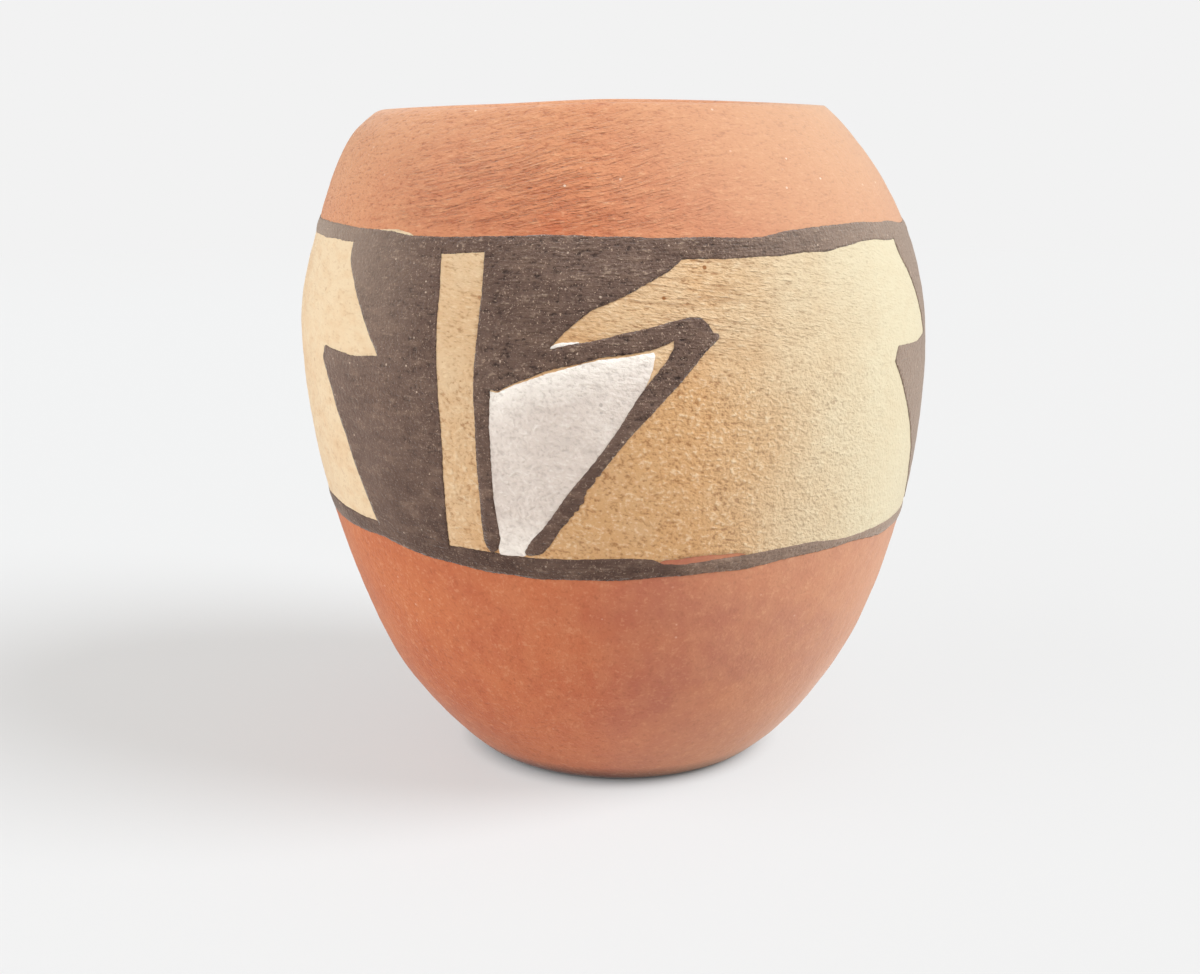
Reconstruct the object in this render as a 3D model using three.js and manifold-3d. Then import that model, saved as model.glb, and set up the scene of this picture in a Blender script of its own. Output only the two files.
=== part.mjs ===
// A small hand-built clay pot: a moulded base cup, wall coils and a rim coil of red clay, a band of buff slip
// round the belly, and on the band a painted design in dark paint and white slip.
// Millimetres, +Z up, the middle of the foot at the origin, the painted front towards -Y.
import * as THREE from "three";
import { mergeVertices } from "three/addons/utils/BufferGeometryUtils.js";
import Module from "manifold-3d";

// Outside shape of the clay
const pot_height = 70;
const foot_radius = 15.2;
const belly_radius = 33;
const belly_height = 45.5;
const lip_crest_radius = 22.2;
const rim_lean = -1.85; // how far the hand-built rim sits off the middle of the foot, along X

// How full the wall is: its slope off vertical at the foot and at the lip, and the length of each curve's handle
const foot_flare = THREE.MathUtils.degToRad(54);
const lip_slope = THREE.MathUtils.degToRad(42);
const foot_fullness = 20;
const under_belly_fullness = 6.8;
const over_belly_fullness = 9.3;
const lip_fullness = 8.5;

// Thickness of the clay
const wall_thickness = 4.2;
const floor_thickness = 5.5;

// How the clay is built up
const base_cup_height = 11;
const rim_coil_height = 7;
const wall_coils = 5;

// Slip band and the two dark border lines on its edges
const band_bottom = 27.3;
const bare_shoulder = 11.6; // from the band up to the lip's crest
const slip_thickness = 0.25;
const paint_thickness = 0.2;
const lower_line_width = 1.7;
const upper_line_width = 1.5;

// Painted design. Widths and reaches are measured round the belly from the bare stripe's edges, and depths down
// from the upper border line.
const design_turns = [-25.5, 89.5, 212].map(THREE.MathUtils.degToRad); // stripe's place in each repeat
const stripe_width = 4;
const brush_width = 1.6;
const paint_gap = 0.3; // bare slip between neighbouring pieces of paint
const film_gap = 0.02; // between a painted figure and the slip that it lies on

const panel_top_width = 13;
const panel_waist_width = 7.2;
const panel_waist_depth = 10;
const panel_barb_length = 10;
const panel_barb_drop = 0.7;
const panel_bottom_width = 11;

const triangle_width = 19.3;
const notch_reach = 6.8;
const notch_depth = 8.2;
const elbow_reach = 19.8;
const elbow_depth = 5.6;
const elbow_nose_length = 2.2;
const elbow_nose_drop = 1.5;
const arm_root_depth = 3.8; // how thick the arm is where it leaves the leg, from the notch down
const arm_thickness = 0.9;
const patch_corner_setback = 4.2; // from the elbow's nose back to the patch's upper corner
const patch_foot_width = 2;
const tail_width = 1.8;

// Fineness of the faceted solids
const facets_round = 60;
const row_height = 5.5;
const nearest_rows = 0.3; // edges that lie closer than this share one row of points
const lip_steps = 2; // on each side of the crest
const outline_step = 5;
const cutter_steps = 8;
const cutter_inner_radius = belly_radius * 0.6; // well inside the clay
const cutter_outer_radius = belly_radius * 1.5; // well outside the paint
const halvings = 40;
const merge_distance = 1e-4;

const clay = { color: 0xb8694b, roughness: 0.9 };
const buff_slip = { color: 0xdcb880, roughness: 0.85 };
const dark_paint = { color: 0x4b3e3e, roughness: 0.9 };
const white_slip = { color: 0xe1dcde, roughness: 0.85 };

const { lerp } = THREE.MathUtils;
const wasm = await Module();
wasm.setup();
const pot = new THREE.Group();

// Wall: two curves meet at the belly, and the lip is a half round on the wall's end.
const across = (slope) => new THREE.Vector2(Math.cos(slope), Math.sin(slope));
const foot_edge = new THREE.Vector2(foot_radius, 0);
const belly = new THREE.Vector2(belly_radius, belly_height);
const lip_centre = new THREE.Vector2(lip_crest_radius, pot_height - wall_thickness / 2);
const lip_edge = lip_centre.clone().addScaledVector(across(lip_slope), wall_thickness / 2);

const lower_wall = new THREE.CubicBezierCurve(
  foot_edge,
  foot_edge.clone().add(new THREE.Vector2(Math.sin(foot_flare), Math.cos(foot_flare)).multiplyScalar(foot_fullness)),
  belly.clone().add(new THREE.Vector2(0, -under_belly_fullness)),
  belly,
);
const upper_wall = new THREE.CubicBezierCurve(
  belly,
  belly.clone().add(new THREE.Vector2(0, over_belly_fullness)),
  lip_edge.clone().add(new THREE.Vector2(Math.sin(lip_slope), -Math.cos(lip_slope)).multiplyScalar(lip_fullness)),
  lip_edge,
);

// Where a test turns from true to false between two values.
function turningPoint(low, high, isBelow) {
  for (let halving = 0; halving < halvings; halving++) {
    const middle = (low + high) / 2;
    if (isBelow(middle)) low = middle;
    else high = middle;
  }
  return low;
}

// The wall at a height: its outside point, and the inside point square across the clay from it.
function wallAt(height) {
  const curve = height < belly_height ? lower_wall : upper_wall;
  const share = turningPoint(0, 1, (t) => curve.getPoint(t).y < height);
  const outside = curve.getPoint(share);
  const along = curve.getTangent(share);
  const inside = outside.clone().add(new THREE.Vector2(-along.y, along.x).multiplyScalar(wall_thickness));
  return { outside, inside };
}

// Heights of the rows of points: every joint and band edge, with even rows between them.
const coil_height = (pot_height - base_cup_height - rim_coil_height) / wall_coils;
const joint_heights = Array.from({ length: wall_coils + 1 }, (_, i) => base_cup_height + i * coil_height);
const band_top = pot_height - bare_shoulder;
const lower_line_top = band_bottom + lower_line_width;
const upper_line_bottom = band_top - upper_line_width;
const edges = [0, ...joint_heights, band_bottom, lower_line_top, upper_line_bottom, band_top, lip_edge.y]
  .sort((a, b) => a - b)
  .filter((height, i, all) => i === 0 || height - all[i - 1] > nearest_rows);
const rows = edges.flatMap((height, i) => {
  if (i === edges.length - 1) return [height];
  const count = Math.ceil((edges[i + 1] - height) / row_height);
  return Array.from({ length: count }, (_, k) => height + ((edges[i + 1] - height) * k) / count);
});
const nearestRow = (height) =>
  rows.reduce((best, row) => (Math.abs(row - height) < Math.abs(best - height) ? row : best));
function rowsBetween(low, high) {
  const bottom = nearestRow(low);
  const top = nearestRow(high);
  return rows.filter((row) => row >= bottom && row <= top);
}

// The lean carries each level sideways in step with its height.
function addPiece(name, geometry, finish) {
  const lean = new THREE.Matrix4();
  lean.elements[8] = rim_lean / pot_height;
  geometry.applyMatrix4(lean);
  geometry.computeVertexNormals();
  const mesh = new THREE.Mesh(geometry, new THREE.MeshStandardMaterial({ ...finish, metalness: 0 }));
  mesh.name = name;
  pot.add(mesh);
}

// A round piece from its outline, which runs up the outside and down the inside.
function round(outline) {
  return new THREE.LatheGeometry(outline, facets_round).rotateX(Math.PI / 2);
}

// A ring of clay or slip from its outside and inside points, both listed upwards.
function ring(outside, inside) {
  return round([...outside, ...inside.toReversed(), outside[0]]);
}

// Base cup: pressed into a bowl-shaped form, with a flat foot and a flat floor inside.
function baseCup() {
  const cup_rows = rowsBetween(0, joint_heights[0]);
  const outside = cup_rows.map((row) => wallAt(row).outside);
  const floor_row = turningPoint(0, joint_heights[0], (row) => wallAt(row).inside.y < floor_thickness);
  const floor_edge = wallAt(floor_row).inside;
  const inside = cup_rows.filter((row) => row > floor_row + nearest_rows).map((row) => wallAt(row).inside);
  return round([
    new THREE.Vector2(0, 0),
    ...outside,
    ...inside.toReversed(),
    floor_edge,
    new THREE.Vector2(0, floor_edge.y),
  ]);
}

function wallCoil(low, high) {
  const levels = rowsBetween(low, high).map(wallAt);
  return ring(
    levels.map((level) => level.outside),
    levels.map((level) => level.inside),
  );
}

// Rim coil: the top of the wall, closed over by the half-round lip.
function rimCoil() {
  const levels = rowsBetween(joint_heights[wall_coils], lip_edge.y).map(wallAt);
  const crest = Math.PI / 2;
  const lip_turns = [
    ...Array.from({ length: lip_steps }, (_, i) => lerp(lip_slope, crest, (i + 1) / lip_steps)),
    ...Array.from({ length: lip_steps }, (_, i) => lerp(crest, lip_slope + Math.PI, (i + 1) / (lip_steps + 1))),
  ];
  const lip = lip_turns.map((turn) => lip_centre.clone().addScaledVector(across(turn), wall_thickness / 2));
  return ring(
    [...levels.map((level) => level.outside), ...lip],
    levels.map((level) => level.inside),
  );
}

// A coat on the outside of the wall, between two depths measured straight out from the clay.
function coat(low, high, from_depth, to_depth) {
  const levels = rowsBetween(low, high).map((row) => wallAt(row).outside);
  const moved = (depth) => levels.map((point) => new THREE.Vector2(point.x + depth, point.y));
  return ring(moved(to_depth), moved(from_depth));
}

addPiece("moulded_base_cup", baseCup(), clay);
for (let i = 0; i < wall_coils; i++) {
  addPiece("wall_coil_" + (i + 1), wallCoil(joint_heights[i], joint_heights[i + 1]), clay);
}
addPiece("rim_coil", rimCoil(), clay);

const on_slip = slip_thickness + paint_thickness;
addPiece("buff_slip_band", coat(band_bottom, band_top, 0, slip_thickness), buff_slip);
addPiece("lower_border_line", coat(band_bottom, lower_line_top, slip_thickness, on_slip), dark_paint);
addPiece("upper_border_line", coat(upper_line_bottom, band_top, slip_thickness, on_slip), dark_paint);

// Solids for cutting: closed meshes with their shared vertices merged.
function toSolid(geometry) {
  const bare = geometry.clone();
  bare.deleteAttribute("normal");
  bare.deleteAttribute("uv");
  const merged = mergeVertices(bare, merge_distance);
  return new wasm.Manifold(
    new wasm.Mesh({
      numProp: 3,
      vertProperties: merged.attributes.position.array,
      triVerts: new Uint32Array(merged.index.array),
    }),
  );
}

function toGeometry(solid) {
  const mesh = solid.getMesh();
  return new THREE.BufferGeometry()
    .setAttribute("position", new THREE.BufferAttribute(mesh.vertProperties, 3))
    .setIndex(new THREE.BufferAttribute(mesh.triVerts, 1));
}

// Outline points at even steps, so that a straight side follows the round wall.
function stepped(corners) {
  return corners.flatMap((corner, i) => {
    const next = corners[(i + 1) % corners.length];
    const count = Math.ceil(corner.distanceTo(next) / outline_step);
    return Array.from({ length: count }, (_, k) => corner.clone().lerp(next, k / count));
  });
}

// A figure on the band: its flat outline is wrapped round the pot and cuts its shape out of a coat of paint.
const paint_low = nearestRow(lower_line_top) + paint_gap;
const paint_high = nearestRow(upper_line_bottom) - paint_gap;
const paint_coat = toSolid(coat(lower_line_top, upper_line_bottom, slip_thickness + film_gap, on_slip + film_gap));

function figure(corners, turn) {
  const wrapped = new THREE.ExtrudeGeometry(new THREE.Shape(stepped(corners)), {
    depth: cutter_outer_radius - cutter_inner_radius,
    steps: cutter_steps,
    bevelEnabled: false,
  });
  const position = wrapped.attributes.position;
  for (let i = 0; i < position.count; i++) {
    const angle = turn + position.getX(i) / belly_radius;
    const radius = cutter_inner_radius + position.getZ(i);
    position.setXYZ(i, radius * Math.sin(angle), -radius * Math.cos(angle), position.getY(i));
  }
  const cutter = toSolid(wrapped);
  const part_of_coat = paint_coat.intersect(cutter);
  return toGeometry(part_of_coat);
}

// The outline moved inwards by a distance, with its corners kept. The corners run anticlockwise.
function inset(corners, distance) {
  return corners.map((corner, i) => {
    const before = corners.at(i - 1);
    const after = corners[(i + 1) % corners.length];
    const arriving = corner.clone().sub(before).normalize();
    const leaving = after.clone().sub(corner).normalize();
    const reach = distance / arriving.cross(leaving);
    return corner.clone().addScaledVector(leaving, reach).addScaledVector(arriving, -reach);
  });
}

const at = (along, height) => new THREE.Vector2(along, height);
const below_line = (depth) => upper_line_bottom - depth;
const stripe_left = -stripe_width / 2;
const stripe_right = stripe_width / 2;

// Dark panel to the left of the stripe, drawn in to a waist, with a barb that starts at the waist.
const waist = at(stripe_left - panel_waist_width, below_line(panel_waist_depth));
const panel = [
  at(stripe_left, paint_low),
  at(stripe_left, paint_high),
  at(stripe_left - panel_top_width, paint_high),
  waist,
  at(waist.x - panel_barb_length, waist.y - panel_barb_drop),
  at(stripe_left - panel_bottom_width, paint_low),
];

// The white patch's bed: the space between the figure's leg, its arm and its slanting tail.
const leg_right = stripe_right + brush_width;
const elbow = at(stripe_right + elbow_reach, below_line(elbow_depth));
const nose = at(elbow.x + elbow_nose_length, elbow.y - elbow_nose_drop);
const patch_bed = [
  at(leg_right, paint_low),
  at(leg_right + patch_foot_width, paint_low),
  at(nose.x - patch_corner_setback, nose.y - arm_thickness),
  at(leg_right, below_line(notch_depth + arm_root_depth)),
];

// Dark figure to the right of the stripe: a triangle, a bent arm that runs down as a tail, and a straight leg.
const bent_figure = [
  at(stripe_right, paint_low),
  patch_bed[0],
  patch_bed[3],
  patch_bed[2],
  patch_bed[1],
  at(patch_bed[1].x + tail_width, paint_low),
  nose,
  elbow,
  at(stripe_right + notch_reach, below_line(notch_depth)),
  at(stripe_right + triangle_width, paint_high),
  at(stripe_right, paint_high),
];

const repeat_names = ["front", "right", "left"];
repeat_names.forEach((side, i) => {
  addPiece(side + "_barbed_panel", figure(panel, design_turns[i]), dark_paint);
  addPiece(side + "_bent_figure", figure(bent_figure, design_turns[i]), dark_paint);
  addPiece(side + "_white_patch", figure(inset(patch_bed, paint_gap), design_turns[i]), white_slip);
});

export default pot;
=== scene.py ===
import bisect
import math

import bmesh
import bpy
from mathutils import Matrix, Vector, noise
from mathutils.geometry import interpolate_bezier


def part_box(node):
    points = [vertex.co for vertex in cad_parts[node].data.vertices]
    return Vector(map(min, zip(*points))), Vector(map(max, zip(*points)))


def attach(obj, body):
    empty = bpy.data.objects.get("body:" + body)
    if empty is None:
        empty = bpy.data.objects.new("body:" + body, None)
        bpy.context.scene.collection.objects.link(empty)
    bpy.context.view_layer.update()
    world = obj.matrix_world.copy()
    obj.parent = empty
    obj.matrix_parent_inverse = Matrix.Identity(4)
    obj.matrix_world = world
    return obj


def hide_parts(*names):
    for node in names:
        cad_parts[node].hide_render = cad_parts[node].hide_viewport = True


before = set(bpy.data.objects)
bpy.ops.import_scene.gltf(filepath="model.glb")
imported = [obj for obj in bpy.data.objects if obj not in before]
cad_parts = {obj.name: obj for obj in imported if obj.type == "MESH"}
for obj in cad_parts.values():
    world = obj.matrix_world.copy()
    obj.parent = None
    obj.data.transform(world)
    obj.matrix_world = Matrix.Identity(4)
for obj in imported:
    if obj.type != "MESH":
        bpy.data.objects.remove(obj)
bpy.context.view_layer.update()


# Clay body: red clay pressed into a bowl for the bottom, coiled up into a wall and closed in to a thick lip,
# then scraped, rubbed and fired bare. The joints of base, coils and rim are smoothed away into one skin.
mm = 0.001
pot_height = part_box("rim_coil")[1].z
foot_radius = 15.7 * mm
foot_rounding = 3.6 * mm
belly_radius = 33.2 * mm
belly_height = 45.5 * mm
lip_crest_radius = 22.2 * mm
wall_thickness = 4.2 * mm
floor_thickness = 5.5 * mm
floor_rounding = 4 * mm
rim_lean = -2 * mm
rim_dip = 0.25 * mm
left_dip = 0.4 * mm
foot_flare = math.radians(48.5)
lip_slope = math.radians(42)
foot_fullness = 22.1 * mm
under_belly_fullness = 6.8 * mm
over_belly_fullness = 9.3 * mm
lip_fullness = 8.5 * mm
curve_points = 160

lip_centre = Vector((lip_crest_radius, pot_height - wall_thickness / 2))
across_lip = Vector((math.cos(lip_slope), math.sin(lip_slope)))
along_lip = Vector((-math.sin(lip_slope), math.cos(lip_slope)))
lip_edge = lip_centre + across_lip * wall_thickness / 2


def wall_curve():
    """The outside of the wall from foot to lip, as points of radius and height."""
    foot = Vector((foot_radius, 0))
    belly = Vector((belly_radius, belly_height))
    flare = Vector((math.sin(foot_flare), math.cos(foot_flare)))
    lower = interpolate_bezier(
        foot, foot + flare * foot_fullness, belly - Vector((0, under_belly_fullness)), belly, curve_points
    )
    upper = interpolate_bezier(
        belly, belly + Vector((0, over_belly_fullness)), lip_edge - along_lip * lip_fullness, lip_edge,
        curve_points,
    )
    return lower + upper[1:]


foot_step = 2 * mm
low_wall_step = 0.6 * mm
band_step = 1.6 * mm
shoulder_step = 0.36 * mm
lip_step = 0.45 * mm
inside_step = 2 * mm
floor_curve_step = 1 * mm
floor_step = 3 * mm

wall = wall_curve()
wall_heights = [point.y for point in wall]


def radius_at(height):
    """The wall's outside radius at a height."""
    i = min(max(bisect.bisect(wall_heights, height), 1), len(wall) - 1)
    low, high = wall[i - 1], wall[i]
    share = (height - low.y) / (high.y - low.y)
    return low.x + (high.x - low.x) * share


def ease(value, start, end):
    """0 before start, 1 after end, and smooth between them."""
    share = min(max((value - start) / (end - start), 0), 1)
    return share * share * (3 - 2 * share)


# How far hand work has moved the clay off a true round.
oval = 0.12 * mm
oval_turn = 0.7
flat_foot_height = 3 * mm
uneven_rim_height = 9 * mm
lump_size = 16 * mm
lump_depth = 0.2 * mm
ripple_size = 4.5 * mm
ripple_depth = 0.045 * mm
grit_size = 1.1 * mm
grit_depth = 0.04 * mm
scrape_rise = 0.2
scrape_width = 0.8 * mm
scrape_length = 8 * mm
scrape_wander = 0.6 * mm
scrape_depth = 0.1 * mm
scraped_side = math.radians(-16)
most_scraped = 0.2
least_scraped = 0.65
scraped_from = 1 * mm
middle_drift = 0.6 * mm
bulges = [
    (-90, 67, 3.6, 0.65), (-90, 67.8, 1.5, 0.25), (-90, 56.5, 4.5, -0.4), (-90, 11, 5, 0.35),
    (75, 4.5, 4.5, 0.3), (90, 12, 6, 0.3), (90, 57, 9, 0.22), (90, 68, 2, 0.15),
]


def scraped(turn, height):
    """Depth of the scraper's grooves above the slip, climbing to the right, deepest left of the front."""
    here = ease(height, band_top, band_top + scraped_from)
    here *= 1 - ease(height, pot_height - 4 * mm, pot_height)
    here *= 0.2 + 0.8 * (1 - ease(abs(turn - scraped_side), most_scraped, least_scraped))
    if here == 0:
        return 0
    climbed = height - scrape_rise * belly_radius * turn
    climbed += scrape_wander * noise.noise(Vector((turn * belly_radius, 0, height)) / scrape_length)
    groove = noise.noise(Vector((turn * belly_radius / scrape_length, 0, climbed / scrape_width)))
    return here * scrape_depth * min(groove, 0.1)


def pressed(turn, height):
    """Low swellings and hollows: degrees round, and in millimetres how high, how tall and how deep."""
    swell = 0
    for side, middle, tall, deep in bulges:
        facing = max(math.cos(turn - math.radians(side)), 0)
        swell += deep * mm * facing**2 * math.exp(-(((height / mm - middle) / tall) ** 2))
    return swell


def hand_formed(turn, height, radius):
    """Where a point of the true round pot has come to rest. Turn 0 is the front and grows to the right."""
    out = Vector((math.sin(turn), -math.cos(turn), 0))
    place = out * radius + Vector((0, 0, height))
    swell = oval * math.cos(2 * turn + oval_turn)
    swell += lump_depth * noise.noise(place / lump_size)
    swell += ripple_depth * noise.noise(place / ripple_size)
    swell += grit_depth * noise.noise(place / grit_size)
    swell += scraped(turn, height) + pressed(turn, height)
    swell *= ease(height, 0, flat_foot_height)
    share = height / pot_height
    drift = rim_lean * share + middle_drift * 4 * share * (1 - share)
    sink = rim_dip * (1 - math.cos(2 * turn)) + left_dip * ease(-math.sin(turn), -0.1, 0.6)
    sink *= ease(height, pot_height - uneven_rim_height, pot_height)
    return place + out * swell + Vector((drift, 0, -sink))


def evenly(points, step):
    """The same line with its points about a step apart."""
    line = [points[0]]
    left = step
    for start, end in zip(points, points[1:]):
        length = (end - start).length
        while left <= length:
            line.append(start.lerp(end, left / length))
            left += step
        left -= length
    if (line[-1] - points[-1]).length < step / 2:
        line.pop()
    return line + [points[-1]]


def offset_inwards(line, distance):
    """A line of points moved to the inside of the clay, square to itself."""
    moved = []
    for i, point in enumerate(line):
        along = (line[min(i + 1, len(line) - 1)] - line[max(i - 1, 0)]).normalized()
        moved.append(point + Vector((-along.y, along.x)) * distance)
    return moved


def body_outline():
    """Half the body's section, from the middle of the foot up the outside and down the inside.

    Its points lie close where the clay shows and is scraped, and wide apart inside and under the slip.
    """
    heel = next(p for p in wall if (p - wall[0]).length > foot_rounding)
    flat = Vector((foot_radius - foot_rounding, 0))
    heel_curve = interpolate_bezier(flat, wall[0], wall[0], heel, 12)
    low_wall = [p for p in wall if heel.y < p.y < band_bottom]
    band_wall = [p for p in wall if band_bottom <= p.y < band_top]
    shoulder = [p for p in wall if p.y >= band_top]
    lip = [
        lip_centre + (across_lip * math.cos(a) + along_lip * math.sin(a)) * wall_thickness / 2
        for a in (math.pi * i / 30 for i in range(31))
    ]
    inside = [p for p in offset_inwards(wall, wall_thickness) if p.y > floor_thickness + floor_rounding]
    corner = Vector((inside[0].x - floor_rounding * 0.6, floor_thickness))
    floor_curve = interpolate_bezier(
        inside[0], inside[0].lerp(corner, 0.6), corner, corner - Vector((floor_rounding, 0)), 8
    )
    return (
        evenly([Vector((0, 0)), flat], foot_step)[:-1]
        + evenly(heel_curve + low_wall, low_wall_step)
        + evenly(band_wall, band_step)
        + evenly(shoulder, shoulder_step)[:-1]
        + evenly(lip, lip_step)
        + evenly(inside[::-1], inside_step)[1:-1]
        + evenly(floor_curve, floor_curve_step)
        + evenly([floor_curve[-1], Vector((0, floor_thickness))], floor_step)[1:]
    )


def turned(outline, steps):
    """An outline of radius and height, rolled up once round the pot's middle from a flat grid."""
    bm = bmesh.new()
    last = len(outline) - 1
    bmesh.ops.create_grid(bm, x_segments=steps, y_segments=last, size=1)
    for vert in bm.verts:
        turn = vert.co.x * math.pi
        point = outline[round((vert.co.y + 1) / 2 * last)]
        vert.co = (point.x * math.sin(turn), -point.x * math.cos(turn), point.y)
    bmesh.ops.remove_doubles(bm, verts=bm.verts[:], dist=0.001 * mm)
    bmesh.ops.recalc_face_normals(bm, faces=bm.faces[:])
    return bm


def as_piece(bm, name, material, replaced):
    """Turns a bmesh into a piece of the pot that stands for CAD nodes."""
    mesh = bpy.data.meshes.new(name)
    bm.to_mesh(mesh)
    bm.free()
    for face in mesh.polygons:
        face.use_smooth = True
    mesh.materials.append(material)
    piece = bpy.data.objects.new(name, mesh)
    bpy.context.scene.collection.objects.link(piece)
    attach(piece, "root")
    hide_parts(*replaced)
    return piece


band_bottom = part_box("buff_slip_band")[0].z
band_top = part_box("buff_slip_band")[1].z
steps_round = 540
coil_ridge = 0.22 * mm
coil_spacing = 10.4 * mm
finger_size = 9 * mm
finger_depth = 0.35 * mm
ridges_fade = 9 * mm
ridges_end = 3 * mm
smooth_floor_radius = 6 * mm
ridged_floor_radius = 16 * mm
sharp_lip = 1.1
sharp_side = math.radians(80)


def squared_lip(turn, point):
    """The half-round lip is pressed squarer on the right than on the left."""
    local = point - lip_centre
    beyond, sideways = local.dot(along_lip), local.dot(across_lip)
    if beyond <= 0 or local.length < wall_thickness / 4:
        return point
    power = 2 + sharp_lip * max(math.cos(turn - sharp_side), 0)
    a, b = abs(beyond) / local.length, abs(sideways) / local.length
    squared = lip_centre + local * (a**power + b**power) ** (-1 / power)
    return Vector((squared.x, min(squared.y, pot_height)))


def shape_body(bm):
    """Presses and coils the true round body into its hand-made form, with finger ridges on the inside."""
    for vert in bm.verts:
        radius = math.hypot(vert.co.x, vert.co.y)
        turn = math.atan2(vert.co.x, -vert.co.y)
        height = vert.co.z
        if height > lip_edge.y - wall_thickness:
            radius, height = squared_lip(turn, Vector((radius, height)))
        inside = radius < radius_at(height) - wall_thickness / 2 and height > floor_thickness / 2
        place = hand_formed(turn, height, radius)
        if inside and radius > 1 * mm:
            deep = 1 - ease(height, pot_height - ridges_fade, pot_height - ridges_end)
            out = Vector((math.sin(turn), -math.cos(turn), 0))
            ridge = math.cos(2 * math.pi * (height / coil_spacing + turn / (2 * math.pi)))
            dent = noise.noise(place / finger_size)
            pushed = out * deep * (coil_ridge * ridge + finger_depth * dent)
            place += pushed * ease(radius, smooth_floor_radius, ridged_floor_radius)
        vert.co = place


def new_material(name):
    """A material and its tree of shader nodes."""
    material = bpy.data.materials.new(name)
    material.use_nodes = True
    return material, material.node_tree


def add_node(tree, kind, inputs=None, **settings):
    """A shader node with its settings and its unlinked input values."""
    made = tree.nodes.new(kind)
    for key, value in settings.items():
        setattr(made, key, value)
    for key, value in (inputs or {}).items():
        made.inputs[key].default_value = value
    return made


def linear(red, green, blue):
    """A colour as it is read off a screen, 0 to 255, in the shader's own linear values."""
    return tuple(((c / 255 + 0.055) / 1.055) ** 2.4 for c in (red, green, blue)) + (1,)


def noise_at(tree, size, stretch=(1, 1, 1), detail=2, place=None):
    """Noise whose grains are about a size across, and longer along an axis where the stretch is more."""
    if place is None:
        place = add_node(tree, "ShaderNodeTexCoord").outputs["Object"]
    scaled = add_node(tree, "ShaderNodeVectorMath", operation="MULTIPLY")
    tree.links.new(place, scaled.inputs[0])
    scaled.inputs[1].default_value = [1 / (size * s) for s in stretch]
    made = add_node(tree, "ShaderNodeTexNoise", {"Scale": 1, "Detail": detail, "Roughness": 0.55})
    tree.links.new(scaled.outputs[0], made.inputs["Vector"])
    return made.outputs["Fac"]


def noises_at(tree, parts, place=None):
    """The sum of several noises, each given by its size, its stretch and its share."""
    total = 0
    for size, stretch, share in parts:
        part = combined(tree, noise_at(tree, size, stretch, 2, place), share)
        total = combined(tree, part, total, "ADD")
    return total


def ramp(tree, value, low, high, start=0.0, end=1.0):
    """A value read as start below low and as end above high."""
    made = add_node(
        tree, "ShaderNodeMapRange", {"From Min": low, "From Max": high, "To Min": start, "To Max": end}
    )
    tree.links.new(value, made.inputs["Value"])
    return made.outputs["Result"]


def combined(tree, first, second, operation="MULTIPLY"):
    """Two values multiplied, or put together by another operation."""
    made = add_node(tree, "ShaderNodeMath", operation=operation)
    for socket, value in zip(made.inputs, (first, second)):
        if isinstance(value, (int, float)):
            socket.default_value = value
        else:
            tree.links.new(value, socket)
    return made.outputs[0]


def blend_colour(tree, share, first, second):
    """Goes from the first colour to the second as the share goes from 0 to 1."""
    made = add_node(tree, "ShaderNodeMix", data_type="RGBA")
    tree.links.new(share, made.inputs["Factor"])
    for socket, value in ((made.inputs[6], first), (made.inputs[7], second)):
        if isinstance(value, tuple):
            socket.default_value = value
        else:
            tree.links.new(value, socket)
    return made.outputs[2]


def specks(tree, spacing, size):
    """Round specks, one in every few cells of a grid, of about one size."""
    place = add_node(tree, "ShaderNodeTexCoord").outputs["Object"]
    cells = add_node(tree, "ShaderNodeTexVoronoi", {"Scale": 1 / spacing})
    tree.links.new(place, cells.inputs["Vector"])
    near = ramp(tree, cells.outputs["Distance"], size / spacing * 0.6, size / spacing * 0.4)
    chosen = add_node(tree, "ShaderNodeSeparateColor")
    tree.links.new(cells.outputs["Color"], chosen.inputs["Color"])
    return combined(tree, near, ramp(tree, chosen.outputs["Red"], 0.6, 0.9))


def bumped(tree, height, depth, below=None):
    """A surface raised by a height times a depth, on top of the relief below it."""
    made = add_node(tree, "ShaderNodeBump", {"Strength": 1, "Distance": depth})
    tree.links.new(height, made.inputs["Height"])
    if below is not None:
        tree.links.new(below, made.inputs["Normal"])
    return made.outputs["Normal"]


def finish_shader(tree, colour, roughness, normal, dust):
    """Gives the dull fired surface its colour, roughness and relief, and a soft bloom of dust."""
    shader = tree.nodes["Principled BSDF"]
    shader.inputs["Specular IOR Level"].default_value = 0.25
    shader.inputs["Sheen Weight"].default_value = dust
    shader.inputs["Sheen Roughness"].default_value = 0.35
    tree.links.new(colour, shader.inputs["Base Color"])
    tree.links.new(roughness, shader.inputs["Roughness"])
    tree.links.new(normal, shader.inputs["Normal"])


wander_size = 9 * mm


def slanted_place(tree, rise, wander=0):
    """Coordinates whose level lines climb to the right and wander, and the turn and height of a place."""
    parts = add_node(tree, "ShaderNodeSeparateXYZ")
    tree.links.new(add_node(tree, "ShaderNodeTexCoord").outputs["Object"], parts.inputs[0])
    away = combined(tree, parts.outputs["Y"], -1)
    turn = combined(tree, parts.outputs["X"], away, "ARCTAN2")
    climb = combined(tree, turn, rise * belly_radius)
    if wander:
        off_line = ramp(tree, noise_at(tree, wander_size), 0, 1, -wander, wander)
        climb = combined(tree, climb, off_line, "ADD")
    joined = add_node(tree, "ShaderNodeCombineXYZ")
    tree.links.new(parts.outputs["X"], joined.inputs["X"])
    tree.links.new(parts.outputs["Y"], joined.inputs["Y"])
    tree.links.new(combined(tree, parts.outputs["Z"], climb, "SUBTRACT"), joined.inputs["Z"])
    return joined.outputs[0], turn, parts.outputs["Z"]


# Sides where light is painted into the colour: the key-lit right, the hazy left and the warmly lit lower
# left.
key_lit_side = math.radians(72)
hazy_left_side = math.radians(-85)
warm_light_side = math.radians(-50)
middle_start = 4 * mm
middle_end = 12 * mm


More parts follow.
